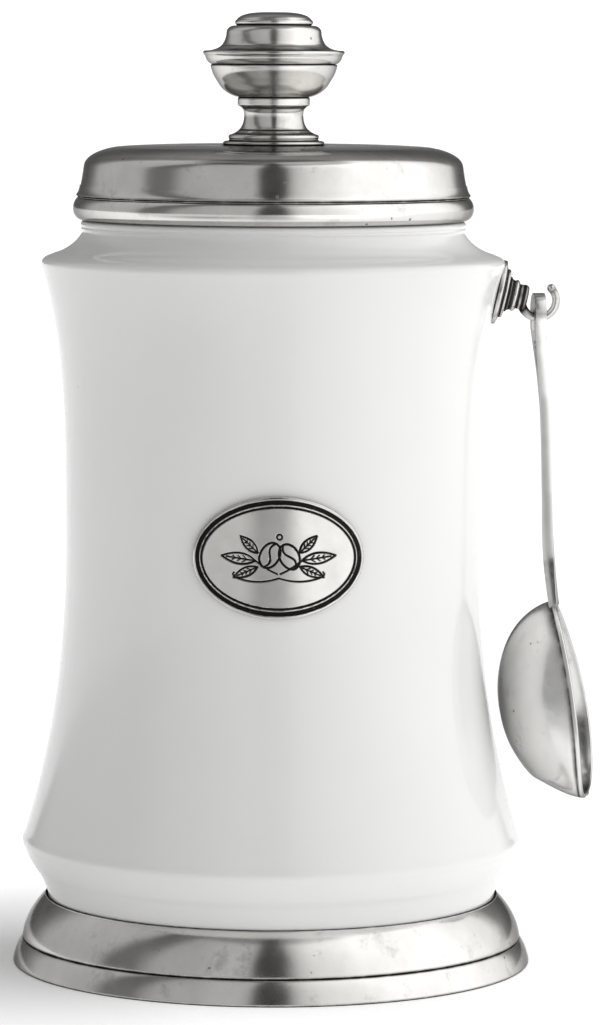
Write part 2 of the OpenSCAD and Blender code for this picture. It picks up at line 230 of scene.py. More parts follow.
def pewter(name, tone=(0.80, 0.785, 0.76), rough=0.2, patina_and_shade=1.0, turned=True, edge=0.3):
    """Old polished pewter: cloudy polish, fine lines, scratches, pits, and dark dirt with painted shade in
    the creases.
    edge is how much of its gloss is left where the surface turns away."""
    look = Look(name)
    cloud = look.noise(55, 5)
    large = look.noise(17, 3)
    lines = look.noise(1500 if turned else 900, 2, spun(look) if turned else look.stretched((1, 1, 0.05)))
    scratch_a = look.noise(260, 1, look.stretched((1, 1, 0.06), (0.5, 0.3, 0.2)))
    scratch_b = look.noise(240, 1, look.stretched((0.07, 1, 1), (0.2, 0.9, 0.6)))
    scratch = look.math("MAXIMUM", look.span(scratch_a, 0.70, 0.76), look.span(scratch_b, 0.70, 0.76))
    cells = look.add("ShaderNodeTexVoronoi", {"Vector": look.place, "Scale": 210, "Randomness": 1.0})
    seldom = look.math("GREATER_THAN", look.noise(75, 1), 0.60)
    pits = look.math("MULTIPLY", look.span(cells.outputs["Distance"], 0.13, 0.05), seldom)
    # Crease darkening from the vertex attribute: dirt, with painted shade where parts meet and under edges.
    crease = look.add("ShaderNodeAttribute", attribute_name="dirt_ink_and_shade").outputs["Fac"]
    broken = look.math("MULTIPLY", crease, look.span(look.noise(260, 3), 0.3, 0.6, 1.0, 1.5))
    dirt_and_shade = look.math("MULTIPLY", broken, patina_and_shade, clamp=True)
    stain = look.span(look.noise(120, 6, rough=0.7), 0.56, 0.78, 0.0, 0.35 * patina_and_shade)
    soiled_and_shaded = look.math("MAXIMUM", dirt_and_shade, stain)
    dark = look.math("MAXIMUM", soiled_and_shaded, look.math("MULTIPLY", pits, 0.75), clamp=True)
    shade = tuple(c * 0.80 for c in tone)
    clean = look.mix(look.span(cloud, 0.3, 0.7), shade, tone)
    base = look.mix(dark, clean, (0.035, 0.032, 0.028))
    roughness = look.math("ADD", look.span(cloud, 0.3, 0.72, rough * 0.75, rough * 1.45),
                          look.math("MULTIPLY", dark, 0.4), clamp=True)
    soft = look.bump(large, 0.22, 0.0012)
    polished = look.bump(cloud, 0.10, 0.0003, soft)
    lined = look.bump(lines, 0.04, 0.00006, polished)
    marked = look.bump(look.math("ADD", scratch, look.math("MULTIPLY", pits, 2.0)), -0.25, 0.00012, lined)
    look.set(Base_Color=base, Metallic=1.0, Roughness=roughness, Normal=marked,
             Specular_Tint=(edge, edge, edge, 1.0))
    return look.material


def glaze(name):
    """White tin glaze: glossy, with a slow waviness, faint cloudiness and a few pinholes."""
    look = Look(name)
    wave = look.noise(22, 2)
    peel = look.noise(420, 2)
    cells = look.add("ShaderNodeTexVoronoi", {"Vector": look.place, "Scale": 95, "Randomness": 1.0})
    seldom = look.math("GREATER_THAN", look.noise(33, 1), 0.66)
    holes = look.math("MULTIPLY", look.span(cells.outputs["Distance"], 0.07, 0.03), seldom)
    tone = look.mix(look.span(look.noise(14, 4), 0.3, 0.7), (0.805, 0.805, 0.798), (0.83, 0.83, 0.825))
    waved = look.bump(wave, 0.2, 0.001)
    peeled = look.bump(peel, 0.05, 0.00008, waved)
    look.set(Base_Color=look.mix(look.math("MULTIPLY", holes, 0.25), tone, (0.45, 0.44, 0.42)),
             Roughness=look.span(look.noise(60, 3), 0.3, 0.7, 0.10, 0.16),
             Normal=look.bump(holes, -0.3, 0.0001, peeled), IOR=1.5, Specular_IOR_Level=0.5)
    return look.material


def engraved(name):
    """The plaque's satin pewter, with black filling in its engraved lines."""
    look = Look(name)
    ink = look.add("ShaderNodeAttribute", attribute_name="dirt_ink_and_shade").outputs["Fac"]
    cloud = look.noise(150, 5)
    brushed = look.noise(800, 2, look.stretched((0.06, 1, 1)))
    worn = look.math("MULTIPLY", ink, look.span(look.noise(900, 3), 0.3, 0.6, 0.94, 1.2), clamp=True)
    clean = look.mix(look.span(cloud, 0.3, 0.7), (0.54, 0.53, 0.515), (0.64, 0.63, 0.61))
    polish = look.span(cloud, 0.3, 0.7, 0.12, 0.18)
    look.set(Base_Color=look.mix(worn, clean, (0.015, 0.014, 0.013)), Metallic=1.0,
             Roughness=look.math("ADD", polish, look.math("MULTIPLY", worn, 0.35)),
             Normal=look.bump(brushed, 0.06, 0.00008, look.bump(cloud, 0.10, 0.0003)))
    return look.material


def plain(name, colour, rough, metal=0.0, grain=500, depth=0.0001):
    """A simple material with some grain, for the small hidden pieces."""
    look = Look(name)
    fleck = look.noise(grain, 3)
    darker = tuple(c * 0.85 for c in colour)
    look.set(Base_Color=look.mix(look.span(fleck, 0.3, 0.7), darker, colour), Metallic=metal,
             Roughness=look.span(fleck, 0.3, 0.7, rough * 0.85, rough * 1.1),
             Normal=look.bump(fleck, 0.2, depth))
    return look.material


GLAZE = glaze("white_glaze")
BASE_PEWTER = pewter("pewter_base", rough=0.13)
LID_PEWTER = pewter("pewter_lid", rough=0.13)
KNOB_PEWTER = pewter("pewter_knob", (0.78, 0.765, 0.74), rough=0.17, patina_and_shade=1.1)
HOOK_PEWTER = pewter("pewter_hook", (0.70, 0.69, 0.67), rough=0.18, patina_and_shade=1.3, turned=False)
SPOON_PEWTER = pewter("pewter_spoon", (0.86, 0.855, 0.84), rough=0.19, patina_and_shade=0.8, turned=False)
PLAQUE_PEWTER = engraved("pewter_plaque")
STEEL = plain("plain_steel", (0.62, 0.62, 0.63), 0.32, 1.0)
SILICONE = plain("silicone", (0.80, 0.80, 0.77), 0.45)
CEMENT = plain("cement", (0.70, 0.69, 0.66), 0.85, 0.0, 900, 0.0003)
ADHESIVE = plain("adhesive", (0.40, 0.40, 0.39), 0.6)


# ---------------------------------------------------------------- camera, light and floor

def make_camera():
    """Where the photograph was taken from, almost level with the shoulder of the jar."""
    distance, height = 1.460, 0.272
    pitch, yaw, roll = radians(5.432), radians(0.319), radians(0.22)
    focal_px, long_side_px, sensor = 4972, 1025, 36.0
    data = bpy.data.cameras.new("camera")
    data.sensor_width = sensor
    data.lens = focal_px / long_side_px * sensor
    camera = bpy.data.objects.new("camera", data)
    turn = (Matrix.Rotation(-yaw, 4, "Z") @ Matrix.Rotation(pi / 2 - pitch, 4, "X")
            @ Matrix.Rotation(roll, 4, "Z"))
    camera.matrix_world = Matrix.Translation((0, -distance, height)) @ turn
    scene.collection.objects.link(camera)
    scene.camera = camera


def make_world():
    """A studio of large soft panels: a mid one on the left, a bright one on the right, a dark gap between."""
    world = bpy.data.worlds.new("studio")
    scene.world = world
    world.use_nodes = True
    tree = world.node_tree
    new, link = tree.nodes.new, tree.links.new

    def math(operation, a, b=None):
        node = new("ShaderNodeMath")
        node.operation = operation
        for k, value in enumerate((a, b)):
            if isinstance(value, bpy.types.NodeSocket):
                link(value, node.inputs[k])
            elif value is not None:
                node.inputs[k].default_value = value
        return node.outputs[0]

    def ramp(value, stops):
        node = new("ShaderNodeValToRGB")
        link(value, node.inputs[0])
        elements = node.color_ramp.elements
        while len(elements) < len(stops):
            elements.new(0.5)
        top = max(level for _, level in stops)
        for element, (at, level) in zip(elements, stops):
            element.position = at
            element.color = (level / top, level / top, level / top, 1)
        return math("MULTIPLY", node.outputs[0], top)

    parts = new("ShaderNodeSeparateXYZ")
    link(new("ShaderNodeTexCoord").outputs["Generated"], parts.inputs[0])
    x, y, z = parts.outputs
    bearing = math("ARCTAN2", x, math("MULTIPLY", y, -1.0))
    around = math("ADD", math("DIVIDE", bearing, 2 * pi), 0.5)
    left = [(-180, 0.30), (-160, 0.30), (-152, 0.22), (-143, 0.26), (-130, 0.58), (-88, 0.46), (-80, 0.14),
            (-66, 0.18), (-56, 0.44), (-30, 0.52), (-12, 0.55)]
    camera_gap = [(-7, 0.05), (7, 0.05)]
    right = [(12, 0.62), (24, 0.95), (42, 1.20), (60, 1.42), (100, 1.48), (134, 1.30), (144, 0.35),
             (160, 0.30), (180, 0.30)]
    level = ramp(around, [(degrees / 360 + 0.5, value) for degrees, value in left + camera_gap + right])
    up = math("ADD", math("MULTIPLY", z, 0.5), 0.5)
    height = ramp(up, [(0.0, 1.0), (0.5, 1.0), (0.948, 1.0), (0.962, 0.45), (1.0, 0.42)])
    behind = ramp(around, [(0.0, 1.0), (0.02, 1.0), (0.026, 0.0), (0.974, 0.0), (0.98, 1.0), (1.0, 1.0)])
    low = ramp(up, [(0.0, 1.0), (0.5070, 1.0), (0.5082, 0.0), (1.0, 0.0)])
    backdrop = math("MULTIPLY", behind, low)
    background = tree.nodes["Background"]
    link(math("ADD", math("MULTIPLY", level, height), backdrop), background.inputs["Color"])
    background.inputs["Strength"].default_value = 1.0


def make_floor():
    """A wide pale sheet that runs up into the background. It glows as painted light, dimmed near the base as
    a painted shadow, and greys towards the front left as painted shade.
    """
    look = Look("floor_painted_glow_and_shade")
    x, y, _ = look.add("ShaderNodeSeparateXYZ", {0: look.place}).outputs
    front = look.span(y, -0.12, -0.45)
    right = look.span(x, -0.35, 0.35)
    away = look.math("SQRT", look.math("ADD", look.math("MULTIPLY", x, x), look.math("MULTIPLY", y, y)))
    # Painted shadow: the glow is lowest right beside the base, most on its left side.
    beside = look.math("MULTIPLY", look.span(x, -0.085, -0.02), 0.26)
    beside_right = look.math("MULTIPLY", look.span(x, 0.04, 0.12), 0.12)
    shaded = look.math("ADD", look.math("ADD", 0.16, beside), beside_right)
    near_glow = look.span(away, 0.08, 0.17, shaded, 0.66)
    # Painted shade: the glow is also lower in a wedge straight in front of the base.
    ahead = look.math("MAXIMUM", look.math("ABSOLUTE", y), 0.01)
    slant = look.math("DIVIDE", look.math("ABSOLUTE", x), ahead)
    far_glow = look.math("MULTIPLY", look.span(away, 0.6, 1.1, 0.0, 0.42), look.math("SUBTRACT", 1.0, right))
    both_glow = look.math("ADD", look.span(right, 0.0, 1.0, 0.10, 1.0), far_glow)
    front_glow = look.math("MULTIPLY", both_glow, look.span(slant, 0.12, 0.28, 0.2, 1.0))
    glow = look.math("ADD", look.math("MULTIPLY", near_glow, look.math("SUBTRACT", 1.0, front)),
                     look.math("MULTIPLY", front_glow, front))
    # Painted shade: a grey base colour towards the front left.
    left_front = look.math("MULTIPLY", front, look.math("SUBTRACT", 1.0, right))
    pale = look.mix(look.noise(9, 2), (0.80, 0.80, 0.80), (0.82, 0.82, 0.82))
    look.set(Base_Color=look.mix(left_front, pale, (0.46, 0.46, 0.46)), Roughness=0.9,
             Emission_Color=(1, 1, 1, 1), Emission_Strength=glow)
    half = 40.0
    verts = [(-half, -half, 0), (half, -half, 0), (half, half, 0), (-half, half, 0)]
    floor = new_piece("floor", verts, [(0, 1, 2, 3)])
    floor.data.materials.append(look.material)


make_camera()
make_world()
make_floor()
scene.view_settings.view_transform = "Standard"


# ---------------------------------------------------------------- canister: base and jar

BASE_R = radius_of("base_dish")
SEAM_Z = top_of("base_dish")
BASE_RIM_Z = top_of("base_moulding")
BASE_RIM_R = 67.1
JAR_BOTTOM_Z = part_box("jar")[0].z / MM
RIM_Z = top_of("jar")
WAIST_R, WAIST_Z = 60.9, 128.0
LOW_R, LOW_Z = 73.9, 36.2
SHOULDER_R, SHOULDER_Z = 68.2, 207.1
MOUTH_R, LIP_R, NECK_R = 50.4, 56.7, 56.2
WALL, FOOT_R = 5.0, 66.2
JAR_FLOOR, BASE_FLOOR = 7.4, 2.0


def wall_r(z):
    """Radius of the waisted wall at a height."""
    if z > WAIST_Z:
        return WAIST_R + (SHOULDER_R + 0.1 - WAIST_R) * ((z - WAIST_Z) / (SHOULDER_Z - WAIST_Z)) ** 3.3
    return WAIST_R + (LOW_R - WAIST_R) * ((WAIST_Z - z) / (WAIST_Z - LOW_Z)) ** 2.3


def wall_points(z0, z1, inset, n):
    return [(wall_r(z) - inset, z) for z in np.linspace(z0, z1, n + 1)]


def make_base():
    ledge_r = FOOT_R + 1.2
    dish = ([(0, 0)] + arc(BASE_R - 0.5, 0.5, 0.5, 0.5, -90, 0, 8)
            + bend((BASE_R, 0.7), (BASE_R - 0.9, 5), (BASE_R - 3.1, SEAM_Z - 0.05), 24)
            + [(BASE_R - 3.3, SEAM_Z), (ledge_r, SEAM_Z), (ledge_r, BASE_FLOOR), (0, BASE_FLOOR)])
    # The second crease paints a contact shadow along the bottom edge where it meets the floor; the first
    # darkens the seam with dirt and painted shade.
    creases = [(BASE_R - 3.0, SEAM_Z, 0.45), (BASE_R - 0.2, 0.0, 0.5)]
    show(lathe("base_bottom_bead", dish, creases, 1.0, wobble=0.12, seed=3), "canister", "pewter_base",
         BASE_PEWTER, "base_dish")
    moulding = ([(BASE_R - 3.4, SEAM_Z)] + arc(BASE_R - 3.05, SEAM_Z + 0.3, 0.25, 0.25, -60, 10, 4)
                + bend((BASE_R - 2.8, SEAM_Z + 0.5), (BASE_R - 3.7, 14.2), (BASE_RIM_R, BASE_RIM_Z - 0.5), 30)
                + arc(BASE_RIM_R - 0.4, BASE_RIM_Z - 0.4, 0.4, 0.4, 10, 90, 6)
                + [(BASE_RIM_R - 0.5, BASE_RIM_Z), (BASE_RIM_R - 0.5, SEAM_Z)])
    # The crease at the top of the rim paints shade into the gap against the glazed jar; the seam crease adds
    # dirt and painted shade.
    creases = [(BASE_R - 3.0, SEAM_Z, 0.48), (BASE_RIM_R - 0.4, BASE_RIM_Z, 0.45)]
    show(lathe("base_moulding_ring", moulding, creases, 0.8, wobble=0.12, seed=4, closed=True), "canister",
         "pewter_base", BASE_PEWTER, "base_moulding")


def make_jar():
    floor_z = JAR_BOTTOM_Z + JAR_FLOOR
    outside = ([(0, JAR_BOTTOM_Z)] + arc(FOOT_R - 1.5, JAR_BOTTOM_Z + 1.5, 1.5, 1.5, -90, 0, 6)
               + bend((FOOT_R + 0.1, 20.5), (67.2, 24.4), (69.6, 27.8), 10)
               + bend((69.9, 28.2), (LOW_R - 1.4, 32), (LOW_R - 0.7, LOW_Z - 1.6), 10)
               + bend((LOW_R - 0.45, LOW_Z - 1.1), (LOW_R + 0.1, LOW_Z), (LOW_R - 0.3, LOW_Z + 1.3), 8)
               + wall_points(LOW_Z + 2.2, SHOULDER_Z - 1.5, 0, 90)
               + bend((SHOULDER_R - 0.12, SHOULDER_Z - 0.9), (SHOULDER_R + 0.1, SHOULDER_Z + 0.6),
                      (SHOULDER_R - 1.1, SHOULDER_Z + 1.3), 10)
               + bend((66.6, SHOULDER_Z + 1.6), (65.4, 209.2), (64.0, 209.7), 6)
               + bend((62.6, 210.2), (59, 211.8), (NECK_R + 0.9, 214.4), 12)
               + arc(NECK_R + 1.1, 216, 1.1, 1.1, 215, 130, 8)
               + arc(LIP_R - 1.5, RIM_Z - 1.3, 1.5, 1.3, -30, 90, 12))
    inside = (arc(MOUTH_R + 1.2, RIM_Z - 1.2, 1.2, 1.2, 92, 180, 10) + [(MOUTH_R, 208.5)]
              + bend((MOUTH_R + 3, 206.5), (60, 205), (wall_r(SHOULDER_Z - 8) - WALL, SHOULDER_Z - 9), 10)
              + wall_points(SHOULDER_Z - 10, LOW_Z + 1, WALL, 60)
              + bend((LOW_R - WALL, LOW_Z), (LOW_R - WALL - 1, floor_z + 9),
                     (LOW_R - WALL - 9, floor_z + 0.3), 12)
              + [(0, floor_z)])
    jar = lathe("glazed_jar", outside + inside, (), 1.6, 256, wobble=0.16, seed=11)
    show(jar, "canister", "glaze", GLAZE, "jar")


make_base()
make_jar()


# ---------------------------------------------------------------- plaque

PLAQUE_A, PLAQUE_B, PLAQUE_Z = 24.3, 17.5, 126.0
PLAQUE_BACK_R, PLAQUE_FACE_R = 61.35, 62.65
PLAQUE_TURN = 1.65


def turn_points(points, degrees, centre=(0, 0)):
    a = radians(degrees)
    return [(centre[0] + x * cos(a) - y * sin(a), centre[1] + x * sin(a) + y * cos(a)) for x, y in points]


def leaf(base, degrees, length, width):
    """A pointed leaf from its base: two edges, a midrib and short side veins."""
    upper = bend((0, 0), (length * 0.42, width), (length, 0))
    lower = bend((0, 0), (length * 0.42, -width), (length, 0))
    rib = [(0, 0), (length * 0.86, 0)]
    strokes = [(upper, 0.24), (lower, 0.20), (rib, 0.15)]
    for part in (0.25, 0.42, 0.59):
        x, reach = length * part, width * 0.30 * (1.25 - part)
        strokes.append(([(x, 0), (x + reach * 1.3, reach)], 0.10))
        strokes.append(([(x, 0), (x + reach * 1.3, -reach)], 0.10))
    return [(turn_points(points, degrees, base), w) for points, w in strokes]


def bean(centre, degrees, length, width):
    """A coffee bean: an oval with the wavy line along its face."""
    edge = arc(0, 0, length / 2, width / 2, 0, 360, 40)
    reach = length * 0.47
    line = [(x, 0.16 * width * sin(2 * pi * x / length)) for x in np.linspace(-reach, reach, 18)]
    return [(turn_points(edge, degrees, centre), 0.26), (turn_points(line, degrees, centre), 0.24)]


def ornament():
    """A sprig: two beans between sprays of leaves over a swash line."""
    strokes = bean((-2.5, 0.9), 62, 7.6, 5.4) + bean((3.0, 0.5), 118, 7.6, 5.4)
    for side in (-1, 1):
        tilt = 0 if side > 0 else 180
        for base, degrees, length, width in (((6.6, -0.6), 8, 9.6, 3.1), ((5.9, 1.6), 44, 6.8, 2.5),
                                             ((6.0, -2.4), -24, 7.4, 2.5)):
            strokes += leaf((side * base[0], base[1]), tilt + side * degrees, length, width)
        strokes.append((bend((side * 0.4, -4.4), (side * 3.4, -3.2), (side * 6.6, -0.6)), 0.2))
        strokes.append((bend((0, -5.6), (side * 6, -7.6), (side * 11.6, -5.6)), 0.2))
        strokes.append((bend((side * 11.6, -5.6), (side * 13.6, -4.8), (side * 12.6, -4.0)), 0.18))
    strokes.append((arc(0.2, 6.1, 0.75, 0.75, 0, 360, 16), 0.2))
    return strokes


def stroke_mask(xs, zs, strokes):
    """How far each point lies inside a stroke, from 0 to 1, with a soft edge."""
    mask = np.zeros(xs.shape)
    edge = 0.10
    for points, half in strokes:
        ends = np.array(points, float)
        for (ax, az), (bx, bz) in zip(ends, ends[1:]):
            dx, dz = bx - ax, bz - az
            along = ((xs - ax) * dx + (zs - az) * dz) / max(dx * dx + dz * dz, 1e-9)
            along = np.clip(along, 0, 1)
            gap = np.hypot(xs - ax - along * dx, zs - az - along * dz)
            mask = np.maximum(mask, np.clip((half + edge - gap) / edge, 0, 1))
    return mask


def band_mask(xs, zs, outer, inner):
    """1 between two ovals given by their half axes, with soft edges."""
    def past(oval):
        return (np.sqrt((xs / oval[0]) ** 2 + (zs / oval[1]) ** 2) - 1) * oval[1]
    soft = 0.12
    return np.clip(1 - past(outer) / soft, 0, 1) * np.clip(1 + past(inner) / soft, 0, 1)


def make_plaque():
    rings, turns, edge_round = 170, 512, 0.55
    engrave = 0.28
    us = np.linspace(0, 1, rings + 1)[1:]
    angles = 2 * pi * np.arange(turns) / turns
    u, a = np.meshgrid(us, angles, indexing="ij")
    xs, zs = PLAQUE_A * u * np.cos(a), PLAQUE_B * u * np.sin(a)
    ink = np.maximum.reduce([
        band_mask(xs, zs, (PLAQUE_A - 0.80, PLAQUE_B - 1.05), (PLAQUE_A - 1.85, PLAQUE_B - 2.15)),
        band_mask(xs, zs, (PLAQUE_A - 2.30, PLAQUE_B - 2.75), (PLAQUE_A - 2.80, PLAQUE_B - 3.25)),
        stroke_mask(xs, zs, ornament()),
    ])
    inset = (1 - u) * np.hypot(PLAQUE_A * np.cos(a), PLAQUE_B * np.sin(a))
    near = np.clip(1 - inset / edge_round, 0, 1)
    drop = edge_round * (1 - np.sqrt(1 - near ** 2))
    radius = PLAQUE_FACE_R - drop - engrave * ink
    ys = -np.sqrt(radius ** 2 - xs ** 2)
    front = np.stack([xs, ys, zs + PLAQUE_Z], -1).reshape(-1, 3)
    centre_ink = float(stroke_mask(np.zeros(1), np.zeros(1), ornament())[0])
    back_x, back_z = xs[-1], zs[-1]
    back = np.stack([back_x, -np.sqrt(PLAQUE_BACK_R ** 2 - back_x ** 2), back_z + PLAQUE_Z], -1)
    middle_y = -np.sqrt(PLAQUE_BACK_R ** 2 - back_x ** 2 / 4)
    middle = np.stack([back_x * 0.5, middle_y, back_z * 0.5 + PLAQUE_Z], -1)
    verts = np.concatenate([[(0, -PLAQUE_FACE_R + engrave * centre_ink, PLAQUE_Z)], front, back, middle,
                            [(0, -PLAQUE_BACK_R, PLAQUE_Z)]])
    faces = []
    for k in range(turns):
        n = (k + 1) % turns
        faces.append((0, 1 + k, 1 + n))
        for i in range(rings + 1):
            p, q = 1 + i * turns, 1 + (i + 1) * turns
            faces.append((p + k, q + k, q + n, p + n))
        last = 1 + (rings + 1) * turns
        faces.append((last + k, last + turns, last + n))
    dirt_ink_and_shade = np.concatenate([[centre_ink], ink.reshape(-1), np.ones(turns), np.zeros(turns + 1)])
    spin = np.array(Matrix.Rotation(radians(PLAQUE_TURN), 3, "Z"))
    plaque = new_piece("plaque_oval", (verts @ spin.T) * MM, faces, dirt_ink_and_shade, 50)
    show(plaque, "canister", "pewter_plaque", PLAQUE_PEWTER, "plaque")


make_plaque()


# ---------------------------------------------------------------- hook

HOOK_Z, HOOK_TILT = 198.5, 12.2
BEND_X, BEND_Z, BEND_R = 78.0, 196.0, 5.1
WIRE_R = 1.15


def along_hook(out):
    """The hook's axis, square to the sloping wall, that far out of it."""
    origin = Vector((wall_r(HOOK_Z), 0, HOOK_Z)) * MM
    return (Matrix.Translation(origin) @ Matrix.Rotation(radians(90 + HOOK_TILT), 4, "Y")
            @ Matrix.Translation((0, 0, out * MM)))


def sweep(name, path, radii, sides, dirt_ink_and_shade=None, across=Vector((0, 1, 0))):
    """A round bar along a path in the XZ plane, closed by a point at each end."""
    verts, rows = [], []
    for i, (p, r) in enumerate(zip(path, radii)):
        ahead = path[min(i + 1, len(path) - 1)] - path[max(i - 1, 0)]
        side = ahead.normalized().cross(across)
        if r < 1e-6:
            rows.append([len(verts)])
            verts.append(p)
            continue
        rows.append(list(range(len(verts), len(verts) + sides)))
        for k in range(sides):
            a = 2 * pi * k / sides
            verts.append(p + (side * cos(a) + across * sin(a)) * r)
    faces = []
    for low, high in zip(rows, rows[1:]):
        for k in range(sides):
            n = (k + 1) % sides
            if len(low) == 1:
                faces.append((low[0], high[k], high[n]))
            elif len(high) == 1:
                faces.append((low[k], high[0], low[n]))
            else:
                faces.append((low[k], high[k], high[n], low[n]))
    dirt_and_shade = []
    for i, row in enumerate(rows):
        dirt_and_shade += [dirt_ink_and_shade[i] if dirt_ink_and_shade is not None else 0.0] * len(row)
    return new_piece(name, [v * MM for v in verts], faces, dirt_and_shade)


def make_hook():
    step_r = 7.2
    rosette = ([(0, 0.1), (9.5, 0.1), (9.5, 1.9)] + arc(9.1, 2.0, 0.4, 0.45, -10, 80, 6)
               + bend((8.8, 2.5), (8.0, 2.75), (7.5, 2.9), 6) + [(step_r, 3.1), (step_r, 3.5)]
               + arc(step_r - 0.35, 3.6, 0.35, 0.35, 0, 80, 5) + bend((6.6, 4.0), (5.8, 4.25), (5, 4.3), 5)
               + [(0, 4.3)])
    # The creases darken the steps, the edge against the jar and the foot of the boss with dirt and painted
    # shade.
    creases = [(8.3, 2.7, 0.2), (step_r + 0.1, 3.0, 0.32), (9.5, 0.9, 0.3), (5.3, 4.3, 0.5)]
    show(lathe("hook_rosette_disc", rosette, creases, 0.25, 96, 0.05, 21, along_hook(-1.4)),
         "canister", "pewter_hook", HOOK_PEWTER, "hook_rosette")
    boss = ([(0, 0), (5.2, 0)] + bend((5.2, 0.4), (4.4, 0.8), (4.45, 1.4), 8)
            + arc(3.95, 2.2, 0.75, 0.65, -60, 70, 8) + bend((4.0, 2.95), (3.6, 3.1), (3.65, 3.5), 5)
            + bend((3.7, 4.3), (3.95, 4.9), (3.6, 5.5), 6)
            + bend((3.5, 5.75), (3.3, 6), (2.9, 6), 4) + [(0, 6)])
    # The boss's creases darken its foot, its grooves and the top where the arm leaves it with dirt and
    # painted shade.
    creases = [(5.2, 0.1, 0.5), (4.4, 1.1, 0.5), (3.7, 3.2, 0.45), (3.75, 4.7, 0.5), (2.0, 6, 1.6)]
    show(lathe("hook_boss_turned", boss, creases, 0.2, 72, 0.1, 22, along_hook(2.9)),
         "canister", "pewter_hook", HOOK_PEWTER, "hook_boss")
    path, radii, dirt_and_shade = [], [], []
    start, end, n = 196, 396, 84
    for i in range(n + 1):
        a = radians(start + (end - start) * i / n)
        path.append(Vector((BEND_X + BEND_R * cos(a), 0, BEND_Z + BEND_R * sin(a))))
        radii.append(WIRE_R * (1.0 + 0.16 * exp(-(i / 16) ** 2)))
        # The arm is darkened where it leaves the boss and near its tip, with dirt and painted shade.
        dirt_and_shade.append(max(exp(-(i / 9) ** 2), 0.35 * exp(-((i - n) / 4) ** 2)))
    tip, ahead = path[-1], (path[-1] - path[-2]).normalized()
    ball = WIRE_R + 0.12
    radii[0] = 0
    for k in range(1, 13):
        a = -pi / 2 + 0.95 + (pi - 0.95) * k / 12
        path.append(tip + ahead * (ball * (sin(a) + 0.55)))
        radii.append(ball * cos(a) if k < 12 else 0)
        dirt_and_shade.append(0.25 if k < 4 else 0.0)
    show(sweep("hook_arm_wire", path, radii, 28, dirt_and_shade), "canister", "pewter_hook", HOOK_PEWTER, "hook_arm")


make_hook()


# ---------------------------------------------------------------- lid and knob

LID_SEAM_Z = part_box("lid_dome")[0].z / MM
LID_TOP_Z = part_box("knob_flange")[0].z / MM
BEAD_R = radius_of("lid_bead")
COLLAR_R = radius_of("lid_collar")
COLLAR_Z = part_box("lid_collar")[0].z / MM
FLANGE_R = radius_of("knob_flange")
CUP_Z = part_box("knob_cup")[0].z / MM
CUP_R = radius_of("knob_cup")
CAP_R = radius_of("knob_cap")
BUTTON_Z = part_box("knob_button")[0].z / MM
TOTAL_H = top_of("knob_button")
SHEET = 2.0
DOME_R = 57.9


